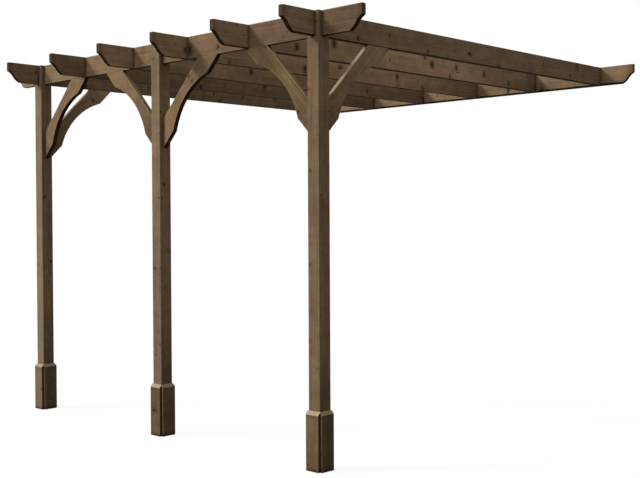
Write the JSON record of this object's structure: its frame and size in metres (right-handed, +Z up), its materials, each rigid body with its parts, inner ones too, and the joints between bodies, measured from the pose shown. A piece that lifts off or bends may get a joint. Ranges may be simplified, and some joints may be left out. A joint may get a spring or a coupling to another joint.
{
  "type": "wooden lean-to pergola",
  "caption": "Open timber lean-to pergola: front posts with boots and arched braces carry a beam, and scroll-ended rafters run back to a wall plate.",
  "frame": {"origin": "on the wall face of the back plate, in the middle of its length and of its depth", "axes": "+Y into the wall, +X along the wall to the right seen from the front, +Z up"},
  "size_m": [3.17, 3.027, 2.28],
  "materials": {
    "post_timber": "brown stained planed softwood",
    "boot_timber": "brown stained sawn softwood",
    "board_timber": "brown stained planed softwood",
    "brace_timber": "brown stained planed softwood"
  },
  "bodies": {
    "root": {"post_left": "post_timber", "post_middle": "post_timber", "post_right": "post_timber", "boot_left_front": "boot_timber", "boot_left_right": "boot_timber", "boot_left_back": "boot_timber", "boot_left_left": "boot_timber", "boot_middle_front": "boot_timber", "boot_middle_right": "boot_timber", "boot_middle_back": "boot_timber", "boot_middle_left": "boot_timber", "boot_right_front": "boot_timber", "boot_right_right": "boot_timber", "boot_right_back": "boot_timber", "boot_right_left": "boot_timber", "front_beam": "board_timber", "wall_plate": "board_timber", "rafter_1": "board_timber", "rafter_2": "board_timber", "rafter_3": "board_timber", "rafter_4": "board_timber", "rafter_5": "board_timber", "rafter_6": "board_timber", "brace_left_beam": "brace_timber", "brace_left_rafter": "brace_timber", "brace_middle_left": "brace_timber", "brace_middle_right": "brace_timber", "brace_right_beam": "brace_timber", "brace_right_rafter": "brace_timber"}
  },
  "joints": []
}
